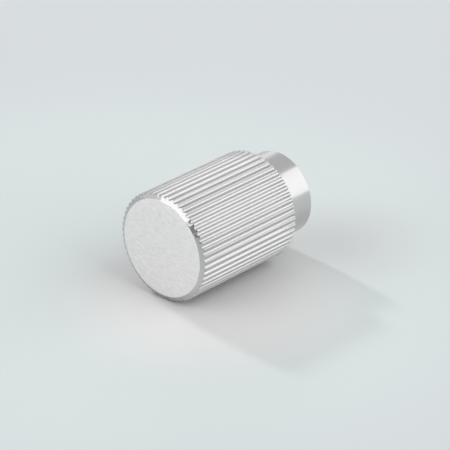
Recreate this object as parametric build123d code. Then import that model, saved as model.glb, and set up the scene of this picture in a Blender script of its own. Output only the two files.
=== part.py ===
"""Cylinder knob: a straight-fluted cabinet knob, turned and fluted from one bar of metal.

The knob stands on its mounting face at z = 0, with the front face of its head at the top.
Its axis is the z axis.
"""

import os
from math import degrees, radians, tan

from build123d import *

# Overall form, in millimetres
projection = 30.2
head_diameter = 20.0
neck_diameter = 15.4
neck_length = 6.7

# Turned edges
face_chamfer_width = 1.0
face_chamfer_height = 0.5
shoulder_chamfer = 0.15
foot_chamfer = 0.2

# Flutes along the head
flute_count = 53
flute_depth = 0.33
flute_land = 0.12
flute_edge_radius = 0.18

# Blind screw hole in the foot, drilled for an M4 thread
screw_hole_diameter = 3.3
screw_hole_depth = 11.0
screw_hole_countersink = 0.5
drill_point_angle = 118.0

# How far a trimming or cutting shape runs past what it trims
overrun = 1.0

# Sizes that follow from the ones above
head_radius = head_diameter / 2
neck_radius = neck_diameter / 2
screw_hole_radius = screw_hole_diameter / 2


def turned(*corners):
    """A solid turned about the z axis, from the (radius, height) corners of its half section."""
    half_section = make_face(Plane.XZ * Polyline(*corners, close=True))
    return revolve(half_section, axis=Axis.Z)


def fluted_section():
    """The head's cross-section: flutes with round floors and rounded edges, and a narrow land between."""
    half_pitch = 180 / flute_count
    half_land = degrees(flute_land / head_diameter)
    edge_angle = half_pitch - half_land

    # A flute's edge is rounded inside the head's circle, and meets it where the land begins.
    edge_centre = Vector(head_radius - flute_edge_radius, 0).rotate(Axis.Z, edge_angle)
    land_start = Vector(head_radius, 0).rotate(Axis.Z, edge_angle)

    # The floor is the circle that is square to the radius at the root and touches both rounded edges.
    root = Vector(head_radius - flute_depth, 0)
    rise = edge_centre.X - root.X
    floor_radius = (rise**2 + edge_centre.Y**2 - flute_edge_radius**2) / (2 * (rise + flute_edge_radius))
    floor_centre = root + Vector(floor_radius, 0)
    floor_end = floor_centre + (edge_centre - floor_centre).normalized() * floor_radius

    floor = ThreePointArc((floor_end.X, -floor_end.Y), root, floor_end)
    edge = TangentArc(floor_end, land_start, tangent=floor % 1)
    land = CenterArc((0, 0), head_radius, edge_angle, 2 * half_land)
    one_flute = [mirror(edge, about=Plane.XZ).edge(), floor, edge, land]
    outline = [spot * line for spot in PolarLocations(0, flute_count) for line in one_flute]
    return make_face(outline)


def fluted_head():
    """The head: a fluted bar, trimmed at both ends by turned chamfers that the flutes run out through."""
    bar_length = projection - neck_length + 2 * overrun
    bar = extrude(Plane.XY.offset(neck_length - overrun) * fluted_section(), amount=bar_length)

    trim_radius = head_radius + overrun
    face_slope = face_chamfer_height / face_chamfer_width
    trimmed_ends = turned(
        (0, neck_length),
        (head_radius - shoulder_chamfer, neck_length),
        (trim_radius, neck_length + shoulder_chamfer + overrun),
        (trim_radius, projection - face_chamfer_height - overrun * face_slope),
        (head_radius - face_chamfer_width, projection),
        (0, projection),
    )
    return bar & trimmed_ends


def neck():
    """The plain neck, with the foot's edge broken, run into the head so that the two become one."""
    return turned(
        (0, 0),
        (neck_radius - foot_chamfer, 0),
        (neck_radius, foot_chamfer),
        (neck_radius, neck_length + overrun),
        (0, neck_length + overrun),
    )


def screw_hole():
    """The blind hole: a countersunk mouth, a plain wall for the thread and the drill's point."""
    mouth_radius = screw_hole_radius + screw_hole_countersink
    point_height = screw_hole_radius / tan(radians(drill_point_angle / 2))
    return turned(
        (0, -overrun),
        (mouth_radius + overrun, -overrun),
        (screw_hole_radius, screw_hole_countersink),
        (screw_hole_radius, screw_hole_depth),
        (0, screw_hole_depth + point_height),
    )


knob = fluted_head() + neck() - screw_hole()
knob.label = "knob"

os.makedirs("parts", exist_ok=True)
export_step(knob, "parts/knob.step")
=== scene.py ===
# %% [markdown]
# # A fluted cylinder knob
# The knob is a short bar of aluminium, turned on a lathe and cut with fine straight flutes along its head.
# It is one piece of metal, so the scene has one piece. All of its look comes from a few edges, four kinds
# of cut and the light that they mirror.
# The knob stands on its foot, with its axis along Z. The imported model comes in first, as a fixed frame.

# %% Load the frame and keep its box
from math import atan2, cos, pi, radians, sin, tan

import bpy
import numpy as np
from mathutils import Matrix, Vector


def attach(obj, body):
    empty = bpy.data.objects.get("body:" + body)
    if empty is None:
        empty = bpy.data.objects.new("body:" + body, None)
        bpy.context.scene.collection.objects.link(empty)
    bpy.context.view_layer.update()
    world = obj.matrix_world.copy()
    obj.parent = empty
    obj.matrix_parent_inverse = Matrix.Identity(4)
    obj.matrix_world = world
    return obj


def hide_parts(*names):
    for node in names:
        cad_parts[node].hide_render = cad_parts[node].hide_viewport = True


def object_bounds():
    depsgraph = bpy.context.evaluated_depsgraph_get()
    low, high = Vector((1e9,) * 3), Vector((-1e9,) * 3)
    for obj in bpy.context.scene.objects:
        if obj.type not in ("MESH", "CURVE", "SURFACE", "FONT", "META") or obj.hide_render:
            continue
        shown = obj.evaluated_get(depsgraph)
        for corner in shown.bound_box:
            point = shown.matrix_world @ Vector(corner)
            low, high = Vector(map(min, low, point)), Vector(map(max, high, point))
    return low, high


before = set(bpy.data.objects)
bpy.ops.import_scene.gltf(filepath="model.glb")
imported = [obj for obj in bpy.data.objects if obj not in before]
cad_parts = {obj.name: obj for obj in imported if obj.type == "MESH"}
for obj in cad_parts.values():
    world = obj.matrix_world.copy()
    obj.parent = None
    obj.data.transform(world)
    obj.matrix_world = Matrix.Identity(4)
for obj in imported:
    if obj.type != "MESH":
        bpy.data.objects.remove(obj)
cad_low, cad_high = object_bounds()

MM = 0.001
print("frame nodes:", sorted(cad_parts))
print("frame box in mm:", [round(side / MM, 3) for side in cad_high - cad_low])

# %% [markdown]
# ## The sizes
# A turned part is told by few sizes: how far it stands out, three diameters and the breaks of its edges.
# They could be measured on the frame's mesh, but its facets would round them off.
# So only the overall length comes from the frame, and the rest are the drawing's own numbers.

# %% Sizes of the knob, in millimetres
projection = (cad_high - cad_low).z / MM
head_radius = 10.0
neck_radius = 7.7
neck_length = 6.7

face_chamfer_width = 1.0
face_chamfer_height = 0.5
shoulder_chamfer = 0.15
foot_chamfer = 0.2

flute_count = 53
flute_depth = 0.33
flute_land = 0.12
flute_edge_radius = 0.18

face_radius = head_radius - face_chamfer_width
print(f"knob: {projection:.2f} mm long, {2 * head_radius:.1f} mm across")
print(f"face: {2 * face_radius:.1f} mm across")

# %% [markdown]
# ## The flutes' section
# A ball-nosed cutter leaves a round floor, and the satin finish rounds the edges where the floor meets
# the land. A sine wave would be quicker, but it has no land and its crests are too soft, so each line of
# light would blur. Here the section is made of true arcs that touch each other, so that every flute gives
# one crisp line. Points are spaced by angle along each arc: the tight edges get about as many points as
# the wide floor.

# %% One flute as arcs
floor_steps = 7
edge_steps = 6


def arc(centre, radius, start, stop, steps):
    """Points of an arc: the centre plus the radius times (cos, sin) of evenly spaced angles."""
    angle = np.linspace(start, stop, steps + 1)
    return np.stack([centre[0] + radius * np.cos(angle), centre[1] + radius * np.sin(angle)], axis=1)


def flute_section():
    """Radius and angle of one flute's points, from the middle of one land to just before the next.

    The floor is the circle that is square to the radius at the flute's root and touches both rounded
    edges, which in turn touch the head's circle where the land begins.
    """
    half_pitch = pi / flute_count
    edge_angle = half_pitch - flute_land / (2 * head_radius)
    edge_x = (head_radius - flute_edge_radius) * cos(edge_angle)
    edge_y = (head_radius - flute_edge_radius) * sin(edge_angle)
    root = head_radius - flute_depth
    rise = edge_x - root
    floor_radius = (rise**2 + edge_y**2 - flute_edge_radius**2) / (2 * (rise + flute_edge_radius))
    floor_x = root + floor_radius
    touch = atan2(-edge_y, floor_x - edge_x)

    floor = arc((floor_x, 0), floor_radius, pi, pi + touch, floor_steps)
    edge = arc((edge_x, edge_y), flute_edge_radius, touch, edge_angle, edge_steps)
    mid_land = np.array([[head_radius * cos(half_pitch), head_radius * sin(half_pitch)]])
    half = np.concatenate([floor, edge[1:], mid_land])
    other_half = half[:0:-1] * (1, -1)
    points = np.concatenate([other_half, half[:-1]])
    return np.hypot(points[:, 0], points[:, 1]), np.arctan2(points[:, 1], points[:, 0])


one_radius, one_angle = flute_section()
flute_turns = 2 * pi / flute_count * np.arange(flute_count)
section_radius = np.tile(one_radius, flute_count)
section_angle = (flute_turns[:, None] + one_angle).ravel()
columns = section_radius.size
print(f"section: {columns} columns, radius {section_radius.min():.2f} to {section_radius.max():.2f} mm")

# %% [markdown]
# ## The lengthwise profile
# Down each of these columns runs one profile, from the foot, up the neck, out along the shoulder, up the
# flute and over the chamfer to the face.
# It could be cut from a plain fluted bar with a Boolean, but the cut would leave ragged points at each
# crest. A grid can place a row of points exactly where the chamfer's cone meets the flute, at a height
# that is worked out for each column, and that row is the scalloped rim that marks this knob.
# Every corner is rounded a little, as no cut edge is perfectly sharp, and the round catches a thin line
# of light.

# %% Corners and rounded corners of the profile
cut_edge_round = 0.05
scallop_round = 0.07
least_edge_break = 0.03
round_steps = 4


def across(radius, height):
    """One corner of the profile in every column, as an array of (radius, height)."""
    return np.stack(np.broadcast_arrays(radius * np.ones(columns), height), axis=1)


def unit(vectors):
    """Each vector divided by its own length."""
    return vectors / np.linalg.norm(vectors, axis=-1, keepdims=True)


def rounded(before, corner, after, radius):
    """Rows of points round a corner: the arc of that radius that touches both of its sides.

    The arc's centre lies on the corner's bisector, radius / sin(half angle) from it. Its points are the
    centre plus the radius times directions blended from one side's touch point to the other's.
    """
    to_before = unit(before - corner)
    to_after = unit(after - corner)
    half_angle = np.arccos(np.clip((to_before * to_after).sum(axis=1), -1, 1))[:, None] / 2
    centre = corner + unit(to_before + to_after) * radius / np.sin(half_angle)
    reach = radius / np.tan(half_angle)
    first = unit(corner + to_before * reach - centre)
    last = unit(corner + to_after * reach - centre)
    share = np.linspace(0, 1, round_steps + 1)[:, None, None]
    return centre + radius * unit((1 - share) * first + share * last)


chamfer_slope = face_chamfer_height / face_chamfer_width
edge_break = np.maximum(section_radius - (head_radius - shoulder_chamfer), least_edge_break)

foot_inner = across(neck_radius / 2, 0)
foot_edge = across(neck_radius - foot_chamfer, 0)
neck_start = across(neck_radius, foot_chamfer)
neck_end = across(neck_radius, neck_length)
shoulder_edge = across(section_radius - edge_break, neck_length)
flute_start = across(section_radius, neck_length + edge_break)
scallop = across(section_radius, projection - (section_radius - face_radius) * chamfer_slope)
face_edge = across(face_radius, projection)
face_middle = across(0, projection)
run_out = scallop[:, 1].max() - scallop[:, 1].min()
print(f"scalloped rim: the flutes run {run_out:.2f} mm up into the chamfer")

# %% [markdown]
# ### Rows and zones
# On the real knob each zone had its own last cut, so the rows are listed zone by zone, from the foot to
# the face. Zones could be found later from the faces' normals, but counting the bands between rows is
# exact. A rounded edge is shared between the zones at its two sides.

# %% Rows of the outside, zone by zone
flute_rows = 4
face_rows = 3


def between(first, last, steps):
    """Rows evenly spaced from one corner to another, without the ends."""
    share = np.linspace(0, 1, steps + 1)[1:-1, None, None]
    return (1 - share) * first + share * last


foot_rows = rounded(foot_inner, foot_edge, neck_start, cut_edge_round)
neck_rows = np.concatenate(
    [
        rounded(foot_edge, neck_start, neck_end, cut_edge_round),
        rounded(neck_start, neck_end, shoulder_edge, cut_edge_round),
        shoulder_edge[None],
    ]
)
wall_rows = np.concatenate([flute_start[None], between(flute_start, scallop, flute_rows)])
rim_rows = rounded(flute_start, scallop, face_edge, scallop_round)
edge_rows = rounded(scallop, face_edge, face_middle, cut_edge_round)
front_rows = between(face_edge, face_middle, face_rows)
outside = np.concatenate([foot_rows, neck_rows, wall_rows, rim_rows, edge_rows, front_rows])

zones = {
    "neck": len(foot_rows) + len(neck_rows) - 1,
    "flutes": len(wall_rows) + round_steps // 2 + 1,
    "chamfer": len(rim_rows) - 1,
}
zones["face"] = len(outside) - 1 - sum(zones.values())
print("outside:", outside.shape[0], "rows, bands per zone:", zones)

# %% [markdown]
# ## The threaded hole
# The foot has a blind hole with an M4 thread, countersunk at its mouth and pointed by the drill at its end.
# Blender's Screw modifier could wind a thread, but it would not fade out at the two ends as a tap's does.
# Here the thread is a trapezium wave wound into a helix: its phase is the height in pitches less the turns
# made so far. The hole is small, so it has one column for each flute, and flat many-sided faces on the
# foot join the two grids.

# %% Rows of the hole
hole_radius = 1.65
hole_depth = 11.0
hole_countersink = 0.5
drill_point_angle = 118.0
thread_pitch = 0.7
thread_radius = 2.0
thread_run_out = 1.0
wave_middle = 0.5
wave_stretch = 0.8
rows_per_turn = 10

hole_angle = section_angle[:: one_radius.size]
hole_columns = hole_angle.size


def thread_wall(height, angle):
    """Radius of the threaded wall: the drilled radius plus a trapezium wave of (height / pitch - turns).

    A triangle wave, which runs from -1 to 1, is stretched about the wave's middle and clipped to 0 and 1,
    so that its top and bottom are flat. It fades to nothing over the run-out at both ends.
    """
    phase = height / thread_pitch - angle / (2 * pi)
    triangle = 1 - 4 * np.abs(phase - np.round(phase))
    wave = np.clip(wave_middle + wave_stretch * triangle, 0, 1)
    from_mouth = height - hole_countersink
    from_end = hole_depth - height
    fade = np.clip(np.minimum(from_mouth, from_end) / thread_run_out, 0, 1)
    return hole_radius + (thread_radius - hole_radius) * wave * fade


wall_turns = (hole_depth - hole_countersink) / thread_pitch
wall_height = np.linspace(hole_countersink, hole_depth, round(wall_turns * rows_per_turn) + 1)
hole_heights = np.concatenate([[0.0], wall_height])[:, None]
hole_radii = thread_wall(hole_heights, hole_angle)
hole_radii[0] = hole_radius + hole_countersink
drill_point = hole_depth + hole_radius / tan(radians(drill_point_angle / 2))
print(f"hole: {wall_turns:.0f} turns of thread in {len(hole_heights)} rows")
print(f"drill point: {drill_point:.2f} mm from the foot")

# %% [markdown]
# ## The knob's mesh
# The two grids become one closed skin. They could be two objects that overlap, but one skin has no hidden
# faces and exports as one clean piece.
# Every band between two rows is a ring of quads, the face and the drill's point close in a ring of
# triangles, and the foot's flat joins the grids. Rows run upwards and columns turn to the left, so the
# outside's quads already look outwards.

# %% Build the mesh
sharp_edge_angle = 35.0


def grid_points(radii, heights, angles):
    """Points at (radius cos angle, radius sin angle, height), as one list of metres."""
    x = radii * np.cos(angles)
    y = radii * np.sin(angles)
    z = np.broadcast_to(heights, x.shape)
    return np.stack([x, y, z], axis=-1).reshape(-1, 3) * MM


def ring_quads(rows, ring, first):
    """Quads between each row of a closed ring and the next, as indices counted from the first point."""
    below = first + np.arange(rows - 1)[:, None] * ring + np.arange(ring)
    beside = first + np.arange(rows - 1)[:, None] * ring + (np.arange(ring) + 1) % ring
    return np.stack([below, beside, beside + ring, below + ring], axis=-1).reshape(-1, 4)


outside_points = grid_points(outside[:, :, 0], outside[:, :, 1], section_angle)
hole_points = grid_points(hole_radii, hole_heights, hole_angle)
poles = np.array([[0, 0, projection], [0, 0, drill_point]]) * MM
points = np.concatenate([outside_points, hole_points, poles])

first_hole = len(outside_points)
face_pole = first_hole + len(hole_points)
drill_pole = face_pole + 1

outside_quads = ring_quads(len(outside), columns, 0)
hole_quads = ring_quads(len(hole_heights), hole_columns, first_hole)[:, ::-1]
last_ring = (len(outside) - 1) * columns + np.arange(columns)
face_triangles = np.stack([last_ring, np.roll(last_ring, -1), np.full(columns, face_pole)], axis=1)
tip_ring = first_hole + (len(hole_heights) - 1) * hole_columns + np.arange(hole_columns)
tip_triangles = np.stack([np.roll(tip_ring, -1), tip_ring, np.full(hole_columns, drill_pole)], axis=1)
mouth_ring = first_hole + np.arange(hole_columns)
foot_ring = np.arange(columns).reshape(flute_count, -1)
foot_sectors = np.column_stack(
    [mouth_ring, np.roll(mouth_ring, -1), np.roll(foot_ring[:, 0], -1), foot_ring[:, ::-1]]
)

groups = [outside_quads, face_triangles, foot_sectors, hole_quads, tip_triangles]
faces = [corners for group in groups for corners in group.tolist()]
knob_mesh = bpy.data.meshes.new("fluted_knob")
knob_mesh.from_pydata(points, [], faces)
knob_mesh.shade_smooth()
knob_mesh.set_sharp_from_angle(angle=radians(sharp_edge_angle))
knob = bpy.data.objects.new("fluted_knob", knob_mesh)
bpy.context.scene.collection.objects.link(knob)

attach(knob, "root")
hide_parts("knob")
triangles = sum(len(group) * (group.shape[1] - 2) for group in groups)
mended = knob_mesh.validate()
print(f"knob: {len(points)} points, {triangles} triangles, problems mended: {mended}")

# %% [markdown]
# ## The finishes
# The whole knob is silver anodised aluminium: a grey metal with a fine matt bloom. What differs is the
# last cut that each face had. The front face was brushed flat, the neck and chamfer keep the lathe's fine
# rings, the flutes keep the cutter's lines along them, and the hole is as the tap left it.
# One painted image could hold all that, but a procedural pattern stays sharp at any size and needs no
# unwrapping. Patterns read Object coordinates, which are metres on this knob.

# %% Colour and node helpers


def from_hex(text):
    """An sRGB hex colour as linear red, green, blue and a full alpha, by the sRGB curve."""
    encoded = np.array([int(text[i : i + 2], 16) for i in (0, 2, 4)]) / 255
    linear = np.where(encoded <= 0.04045, encoded / 12.92, ((encoded + 0.055) / 1.055) ** 2.4)
    return (*linear.tolist(), 1.0)


def add_node(tree, kind, inputs, **settings):
    """Adds a node with its settings, and gives each named input a value or a link from an output."""
    made = tree.nodes.new(kind)
    for name, value in settings.items():
        setattr(made, name, value)
    for name, value in inputs.items():
        if isinstance(value, bpy.types.NodeSocket):
            tree.links.new(value, made.inputs[name])
        else:
            made.inputs[name].default_value = value
    return made


def new_material(name):
    """An empty node material."""
    material = bpy.data.materials.new(name)
    material.use_nodes = True
    material.node_tree.nodes.clear()
    return material


print(f"the grey 808080 is {from_hex('808080')[0]:.3f} in linear light")

# %% [markdown]
# ### Lines left by a cut
# Brushing, turning and fluting all leave lines: short waves across, long along. An anisotropic shader
# would stretch the highlights as such lines do, but it draws no line that the eye can find.
# One noise pattern, squeezed across the lines and stretched along them, serves all the cuts, and only its
# coordinate differs.

# %% A metal with lines
line_layers = 4.0
line_fineness = 0.6


def lined_metal(name, trough, crest, line_vector, roughness, swing, depth):
    """Metal whose grey, roughness and height follow a noise in a vector that counts lines.

    line_vector makes the vector's output in the material's node tree. The noise runs from 0 to 1: the
    grey blends from trough to crest, the roughness swings that far either way, and the surface rises by
    the depth in millimetres. The vector already counts lines, so the noise's own scale is 1.
    """
    material = new_material(name)
    tree = material.node_tree
    noise = add_node(
        tree,
        "ShaderNodeTexNoise",
        {"Vector": line_vector(tree), "Scale": 1.0, "Detail": line_layers, "Roughness": line_fineness},
    )
    wave = noise.outputs["Fac"]
    bloom = add_node(
        tree,
        "ShaderNodeMapRange",
        {"Value": wave, "To Min": roughness - swing, "To Max": roughness + swing},
    )
    grey = add_node(
        tree,
        "ShaderNodeMixRGB",
        {"Fac": wave, "Color1": from_hex(trough), "Color2": from_hex(crest)},
    )
    lines = add_node(tree, "ShaderNodeBump", {"Height": wave, "Distance": depth * MM})
    shader = add_node(
        tree,
        "ShaderNodeBsdfPrincipled",
        {
            "Base Color": grey.outputs["Color"],
            "Metallic": 1.0,
            "Roughness": bloom.outputs["Result"],
            "Normal": lines.outputs["Normal"],
        },
    )
    add_node(tree, "ShaderNodeOutputMaterial", {"Surface": shader.outputs["BSDF"]})
    return material


print(f"lines: {line_layers:.0f} layers of noise, each {line_fineness} as strong as the one before")

# %% [markdown]
# ### The four cuts
# The face's brush lines are straight and run one way across it. Turned rings follow the lathe: they are
# counted by the distance out from the axis less the height, so that one count serves the neck, the
# shoulder and the chamfer. The flutes' lines run along the axis. The hole's rings are the turned ones.
# A UV map could carry the same directions, but plain coordinates do it without a seam.

# %% Line patterns
# Millimetres, and degrees for the turn. Real lines are a few hundredths of a millimetre wide, too fine to
# show at this size, so they are drawn a few times wider and very shallow.
brush_spacing = 0.18
brush_length = 1.2
brush_turn = 33.0
ring_spacing = 0.16
streak_spacing = 0.2
streak_length = 20.0


def brush_lines(tree):
    """Lines along the brush: coordinates turned so that X runs along them, over length and spacing."""
    place = add_node(tree, "ShaderNodeTexCoord", {})
    turned = add_node(
        tree,
        "ShaderNodeMapping",
        {"Vector": place.outputs["Object"], "Rotation": (0, 0, radians(-brush_turn))},
        vector_type="POINT",
    )
    scale = (1 / (brush_length * MM), 1 / (brush_spacing * MM), 1 / MM)
    sides = {0: turned.outputs["Vector"], 1: scale}
    return add_node(tree, "ShaderNodeVectorMath", sides, operation="MULTIPLY").outputs[0]


def turned_rings(tree):
    """Rings round the axis: (distance from the axis - height) / spacing, the same all the way round."""
    place = add_node(tree, "ShaderNodeTexCoord", {}).outputs["Object"]
    flat = add_node(tree, "ShaderNodeVectorMath", {0: place, 1: (1, 1, 0)}, operation="MULTIPLY")
    out = add_node(tree, "ShaderNodeVectorMath", {0: flat.outputs[0]}, operation="LENGTH")
    up = add_node(tree, "ShaderNodeSeparateXYZ", {"Vector": place})
    sides = {0: out.outputs["Value"], 1: up.outputs["Z"]}
    along = add_node(tree, "ShaderNodeMath", sides, operation="SUBTRACT")
    per_ring = {0: along.outputs[0], 1: 1 / (ring_spacing * MM)}
    count = add_node(tree, "ShaderNodeMath", per_ring, operation="MULTIPLY")
    return add_node(tree, "ShaderNodeCombineXYZ", {"X": count.outputs[0]}).outputs[0]


def flute_streaks(tree):
    """Streaks along the axis: position divided by the spacing across and by the length along."""
    place = add_node(tree, "ShaderNodeTexCoord", {})
    across_scale = 1 / (streak_spacing * MM)
    scale = (across_scale, across_scale, 1 / (streak_length * MM))
    sides = {0: place.outputs["Object"], 1: scale}
    return add_node(tree, "ShaderNodeVectorMath", sides, operation="MULTIPLY").outputs[0]


print(f"lines drawn {brush_spacing} mm apart on the face, {ring_spacing} mm on turned faces")

# %% [markdown]
# ### The metals
# Anodised aluminium mirrors less than bare metal, about six to eight tenths of the light, and every cut
# blurs the mirror in its own measure. One metal for all would be simpler, but the face would shine like
# the neck. The greys lean slightly to the warm side, because the pale sheet that they mirror is cool and
# the real metal looks neutral on it.

# %% Materials and their zones
finishes = {}
# Turned neck: a soft mirror in which the lamps still have edges.
finishes["neck"] = lined_metal(
    "turned_aluminium", "C6C5C5", "CECDCD", turned_rings, roughness=0.20, swing=0.03, depth=0.0012
)
# Fluted side: a satin that lets each crest glow as one soft line.
finishes["flutes"] = lined_metal(
    "fluted_aluminium", "C9C8C8", "D3D2D2", flute_streaks, roughness=0.28, swing=0.03, depth=0.0004
)
# Turned chamfer: the smoothest cut, so that part of the rim is a white glint and part is dark.
finishes["chamfer"] = lined_metal(
    "turned_chamfer_aluminium", "C5C4C4", "CDCCCC", turned_rings, roughness=0.13, swing=0.03, depth=0.0012
)
# Brushed face: rough enough to look evenly pale, with a fine grain that runs one way.
finishes["face"] = lined_metal(
    "brushed_aluminium", "C7C5C5", "FDFAFA", brush_lines, roughness=0.5, swing=0.05, depth=0.025
)
# Tapped hole: darker and duller, as the tap leaves it.
finishes["hole"] = lined_metal(
    "tapped_aluminium", "B5B5B5", "BDBDBD", turned_rings, roughness=0.38, swing=0.04, depth=0.002
)
for finish in finishes.values():
    knob_mesh.materials.append(finish)
zone_order = list(finishes)
band_zones = np.repeat([zone_order.index(zone) for zone in zones], list(zones.values()))
face_zones = np.concatenate(
    [
        np.repeat(band_zones, columns),
        np.full(len(face_triangles), zone_order.index("face")),
        np.full(len(foot_sectors), zone_order.index("neck")),
        np.full(len(hole_quads) + len(tip_triangles), zone_order.index("hole")),
    ]
)
knob_mesh.polygons.foreach_set("material_index", face_zones.astype(np.int32))
print("finishes:", ", ".join(material.name for material in knob_mesh.materials))

# %% [markdown]
# ## The stage
# The picture shows the knob on its side, on a pale sheet. The knob could be laid down for it, but a packed
# part must not be turned, so the stage is: the sheet is a plane that touches the head's side, and the
# camera and lamps are placed by it. Its up points away from that side, square to the axis.

# %% The sheet under the knob
axis = Vector((0, 0, 1))
stage_up = Vector((1, -1, 0)).normalized()
stage_side = stage_up.cross(axis)
# Metres, far past the edges of the picture
sheet_half = 2.0

sheet_touch = -head_radius * MM * stage_up
corner_shares = ((-1, -1), (-1, 1), (1, 1), (1, -1))
sheet_corners = [sheet_touch + sheet_half * (u * stage_side + v * axis) for u, v in corner_shares]
sheet_mesh = bpy.data.meshes.new("pale_sheet")
sheet_mesh.from_pydata(sheet_corners, [], [(0, 1, 2, 3)])
sheet = bpy.data.objects.new("pale_sheet", sheet_mesh)
bpy.context.scene.collection.objects.link(sheet)
facing = sheet_mesh.polygons[0].normal.dot(stage_up)
print(f"sheet faces the stage's up: {facing:.3f}")

# %% [markdown]
# ### The sheet's paper
# The sheet is matt paper, pale and a little cool. In front of the head it is neutral and a little brighter,
# and that brightness is painted light: a pool of the light that the face throws down onto the sheet. By the
# neck it is a shade greyer, a painted soft shadow, and far away it is bluer and a shade darker. Coloured
# lamps could do that too, but they would tint the metal as well, so the paper's own colour blends with the
# distance from three spots on it.
# From behind it lets the view through, and it is clear to all that is seen through it, so that the knob
# can be looked at from every side.

# %% Paper colours and spots
# Spots and reaches are in millimetres: to the side and along the knob's axis, and out from the spot.
paper_white = from_hex("D7E0E0")
# A painted soft shadow: the paper is a shade greyer beside the neck and foot, where the left lamps' soft
# shadow falls.
painted_shadow_grey = from_hex("D5D9D9")
painted_shadow_spot = (7.5, -6.0)
painted_shadow_reaches = (4.0, 22.0)
# A painted pool of light: the paper is neutral and brighter in front of the head, where the face throws
# light down onto it.
painted_light_white = from_hex("E4E4E4")
painted_light_spot = (5.8, 24.6)
painted_light_reaches = (12.0, 32.0)
far_blue = from_hex("D4D9DC")
far_spot = (-14.4, 23.9)
far_reaches = (46.0, 95.0)
paper_roughness = 0.5

paper = new_material("matt_paper")
paper_tree = paper.node_tree
paper_place = add_node(paper_tree, "ShaderNodeTexCoord", {}).outputs["Object"]


def past(spot, reaches):
    """0 within the first reach of a spot on the sheet, 1 past the second, and a smooth step between."""
    middle = sheet_touch + MM * (spot[0] * stage_side + spot[1] * axis)
    ends = {0: paper_place, 1: middle}
    away = add_node(paper_tree, "ShaderNodeVectorMath", ends, operation="DISTANCE")
    step = {"Value": away.outputs["Value"], "From Min": reaches[0] * MM, "From Max": reaches[1] * MM}
    share = add_node(paper_tree, "ShaderNodeMapRange", step, interpolation_type="SMOOTHSTEP")
    return share.outputs["Result"]


# The painted shadow and the painted pool of light blend in by the distance from their spots.
with_painted_shadow = add_node(
    paper_tree,
    "ShaderNodeMixRGB",
    {"Fac": past(painted_shadow_spot, painted_shadow_reaches), "Color1": painted_shadow_grey, "Color2": paper_white},
)
with_painted_light = add_node(
    paper_tree,
    "ShaderNodeMixRGB",
    {"Fac": past(painted_light_spot, painted_light_reaches), "Color1": painted_light_white, "Color2": with_painted_shadow.outputs["Color"]},
)
tint = add_node(
    paper_tree,
    "ShaderNodeMixRGB",
    {"Fac": past(far_spot, far_reaches), "Color1": with_painted_light.outputs["Color"], "Color2": far_blue},
)
print(f"paper: neutral within {painted_light_reaches[0]} mm of its spot, bluer past {far_reaches[0]} mm")

# %% Paper shader
matt = add_node(
    paper_tree,
    "ShaderNodeBsdfPrincipled",
    {"Base Color": tint.outputs["Color"], "Roughness": paper_roughness},
)
clear = add_node(paper_tree, "ShaderNodeBsdfTransparent", {})
side_seen = add_node(paper_tree, "ShaderNodeNewGeometry", {})
seen_through = add_node(paper_tree, "ShaderNodeLightPath", {})
unseen = add_node(
    paper_tree,
    "ShaderNodeMath",
    {0: side_seen.outputs["Backfacing"], 1: seen_through.outputs["Transparent Depth"]},
    operation="ADD",
    use_clamp=True,
)
one_sided = add_node(
    paper_tree,
    "ShaderNodeMixShader",
    {0: unseen.outputs[0], 1: matt.outputs["BSDF"], 2: clear.outputs["BSDF"]},
)
add_node(paper_tree, "ShaderNodeOutputMaterial", {"Surface": one_sided.outputs["Shader"]})
sheet_mesh.materials.append(paper)
print("sheet's material:", sheet_mesh.materials[0].name)

# %% [markdown]
# ## The camera
# A long lens from half a metre away looks down at the sheet, and the knob's axis is turned from the line
# of sight. A Track To constraint could aim it, but that would put the face in the middle of the picture.
# So it is placed by two angles, a distance and the pixel where the face's middle falls.

# %% Place the camera
# Degrees, millimetres, and pixels of a square picture
picture_side = 450
focal_pixels = 3041.2
look_down = 26.862
axis_turn = 42.95
face_distance = 521.9
face_pixel = (161.65, 248.22)
sensor_width = 36.0
# Metres
nearest_seen = 0.01
farthest_seen = 10.0

level_away = -cos(radians(axis_turn)) * axis - sin(radians(axis_turn)) * stage_side
view_right = -sin(radians(axis_turn)) * axis + cos(radians(axis_turn)) * stage_side
view_away = cos(radians(look_down)) * level_away - sin(radians(look_down)) * stage_up
view_up = sin(radians(look_down)) * level_away + cos(radians(look_down)) * stage_up

pixel_right = (face_pixel[0] - picture_side / 2) / focal_pixels
pixel_down = (face_pixel[1] - picture_side / 2) / focal_pixels
face_centre = projection * MM * axis
eye = face_centre - face_distance * MM * (view_away + pixel_right * view_right - pixel_down * view_up)

lens = bpy.data.cameras.new("camera")
lens.sensor_width = sensor_width
lens.lens = sensor_width * focal_pixels / picture_side
lens.clip_start = nearest_seen
lens.clip_end = farthest_seen
camera = bpy.data.objects.new("camera", lens)
camera_turn = Matrix((view_right, view_up, -view_away)).transposed().to_4x4()
camera.matrix_world = Matrix.Translation(eye) @ camera_turn
bpy.context.scene.collection.objects.link(camera)
bpy.context.scene.camera = camera
print(f"camera: {lens.lens:.1f} mm lens, {(eye - face_centre).length / MM:.0f} mm from the face")

# %% [markdown]
# ## The light
# Metal shows what it mirrors, so the lamps are shapes to be seen in it: wide soft boxes at the right, at
# the left and high at the back, strips low at the left and the back, and a dim fill between them.
# A single dome would light the sheet as well, but the flutes would have no dark side and look like paint.
# One small lamp casts the long shadow. The metal doesn't mirror it, because every crest would show it as a
# white point. Directions and sizes are angles as seen from the knob: degrees to the right of straight away
# from the camera, and degrees off the sheet. The lamps stand far off, so that the sheet is lit evenly.

# %% A lamp by its angles
# Metres
lamp_distance = 3.0
knob_middle = projection / 2 * MM * axis


def stage_direction(turn, rise):
    """Unit vector so many degrees right of straight away from the camera, and so many off the sheet."""
    level = cos(radians(turn)) * level_away + sin(radians(turn)) * view_right
    return cos(radians(rise)) * level + sin(radians(rise)) * stage_up


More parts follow.
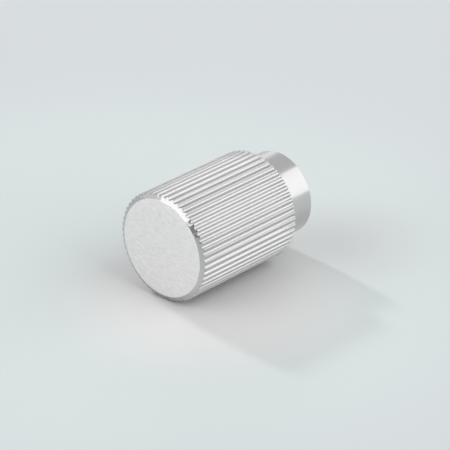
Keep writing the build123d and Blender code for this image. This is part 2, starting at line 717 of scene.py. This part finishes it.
def lamp(name, turns, rises, radiance, mirrored=True):
    """An area lamp that fills a range of turns and of rises, and faces the knob.

    Its sides are twice the distance times the tangent of half its angle, narrower the higher it hangs, and
    its power is pi times its radiance times its area. One that isn't mirrored lights the metal and the
    sheet, but no glossy ray sees it.
    """
    turn = sum(turns) / 2
    rise = sum(rises) / 2
    data = bpy.data.lights.new(name, "AREA")
    data.shape = "RECTANGLE"
    data.size = 2 * lamp_distance * tan(radians(turns[1] - turns[0]) / 2) * cos(radians(rise))
    data.size_y = 2 * lamp_distance * tan(radians(rises[1] - rises[0]) / 2)
    data.energy = pi * radiance * data.size * data.size_y
    outward = stage_direction(turn, rise)
    upward = (stage_up - stage_up.dot(outward) * outward).normalized()
    lamp_turn = Matrix((upward.cross(outward), upward, outward)).transposed().to_4x4()
    made = bpy.data.objects.new(name, data)
    made.matrix_world = Matrix.Translation(knob_middle + lamp_distance * outward) @ lamp_turn
    made.visible_camera = False
    made.visible_glossy = mirrored
    bpy.context.scene.collection.objects.link(made)
    print(f"lamp {name}: {data.size:.2f} x {data.size_y:.2f} m, {data.energy:.1f} W")


print(f"lamps stand {lamp_distance} m from the knob's middle")

# %% The lamps
# At the right: the bright band on the neck, and the light side of the flutes
lamp("right_soft_box", (57, 100), (1, 50), 1.28)
lamp("front_right_soft_box", (100, 148), (12, 68), 1.9)
# At the left: the glint on the chamfer, then light on the face from above
lamp("left_soft_box", (-136, -95), (7, 24), 1.36)
lamp("high_left_soft_box", (-140, -82), (24, 58), 1.25)
# So low that it brightens the rough face, and hardly the sheet
lamp("low_left_strip", (-126, -98), (0.5, 7), 9.8)
lamp("left_fill", (-95, -62), (0.5, 24), 0.6)
# At the back: what the tops of the head and the neck mirror
lamp("back_strip", (-14, 14), (1, 21), 0.85)
lamp("high_back_soft_box", (-20, 55), (22, 60), 0.4)
# The long shadow
lamp("shadow_lamp", (-41.5, -36.5), (29.5, 34.5), 117.0, mirrored=False)

# %% [markdown]
# ### The room
# The room round the lamps is dim at the sheet and pale overhead, and it is the backdrop of other views.
# An image of a room could serve, but a plain gradient keeps the dark sides of the flutes clean. It follows
# a power of the cosine of the angle from the stage's up.

# %% The room's gradient
room_low = 0.29
room_rise = 0.46
overhead_power = 10.0
room_white = from_hex("FFFFFF")

world = bpy.data.worlds.new("studio_room")
bpy.context.scene.world = world
world.use_nodes = True
room_tree = world.node_tree
room_tree.nodes.clear()
direction = add_node(room_tree, "ShaderNodeTexCoord", {})
height = add_node(
    room_tree,
    "ShaderNodeVectorMath",
    {0: direction.outputs["Generated"], 1: stage_up},
    operation="DOT_PRODUCT",
)
overhead = add_node(
    room_tree,
    "ShaderNodeMath",
    {0: height.outputs["Value"], 1: overhead_power},
    operation="POWER",
)
level = add_node(
    room_tree,
    "ShaderNodeMath",
    {0: overhead.outputs[0], 1: room_rise, 2: room_low},
    operation="MULTIPLY_ADD",
)
glow = add_node(room_tree, "ShaderNodeBackground", {"Color": room_white, "Strength": level.outputs[0]})
add_node(room_tree, "ShaderNodeOutputWorld", {"Surface": glow.outputs["Background"]})
bpy.context.scene.view_settings.view_transform = "Standard"
print(f"room: {room_low:.2f} at the sheet, {room_low + room_rise:.2f} overhead")
